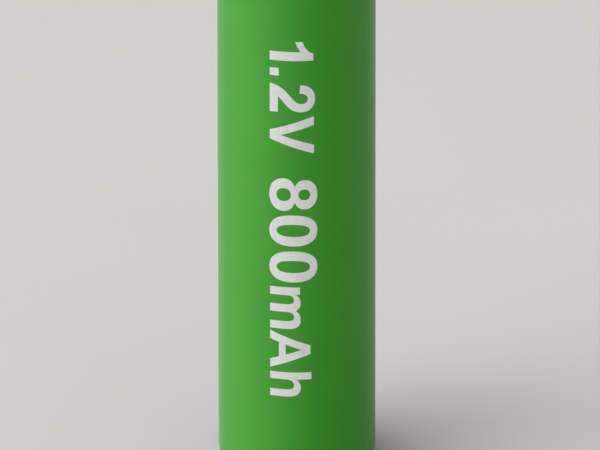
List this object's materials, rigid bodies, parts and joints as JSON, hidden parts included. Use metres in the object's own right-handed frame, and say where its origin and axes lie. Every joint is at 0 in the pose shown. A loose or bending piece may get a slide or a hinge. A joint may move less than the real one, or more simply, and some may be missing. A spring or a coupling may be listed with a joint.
{
  "type": "cylindrical battery cell",
  "caption": "Rechargeable nickel metal hydride cell in the HR03 (AAA) size, with a shrink sleeve, crimped can, raised positive nub, wound electrodes and a sprung safety vent.",
  "frame": {"origin": "centre of the negative contact face on the foot", "axes": "+Z along the cell to the positive nub, -Y out of the printed side of the sleeve"},
  "size_m": [0.0104, 0.0104, 0.0445],
  "materials": {
    "sleeve_film": "satin green shrink film",
    "nickel_plate": "nickel-plated steel",
    "washer_board": "white fish paper",
    "nylon": "natural nylon",
    "black_rubber": "moulded",
    "spring_wire": "drawn wire",
    "nickel_ribbon": "rolled nickel ribbon",
    "amber_tape": "polyimide tape",
    "white_film": "polypropylene sheet",
    "nickel_hydroxide": "pressed paste in nickel foam",
    "hydride_alloy": "pressed alloy powder on perforated strip",
    "separator_felt": "non-woven polyolefin"
  },
  "bodies": {
    "cell": {"sleeve": "sleeve_film", "steel_can": "nickel_plate", "top_washer": "washer_board", "gasket": "nylon", "cover_plate": "nickel_plate", "positive_cap": "nickel_plate", "vent_spring": "spring_wire", "positive_tab": "nickel_ribbon", "tab_tape": "amber_tape", "upper_insulator": "white_film", "lower_insulator": "white_film", "positive_electrode": "nickel_hydroxide", "negative_electrode": "hydride_alloy", "inner_separator": "separator_felt", "outer_separator": "separator_felt"},
    "vent_valve": {"vent_seal": "black_rubber", "vent_plate": "nickel_plate"}
  },
  "joints": [
    {"name": "vent_lift", "type": "slide", "parent": "cell", "child": "vent_valve", "axis": [0, 0, 1], "range_m": [0, 0.0003], "stiffness_N_per_m": 1500, "deforming": ["vent_spring"]}
  ]
}
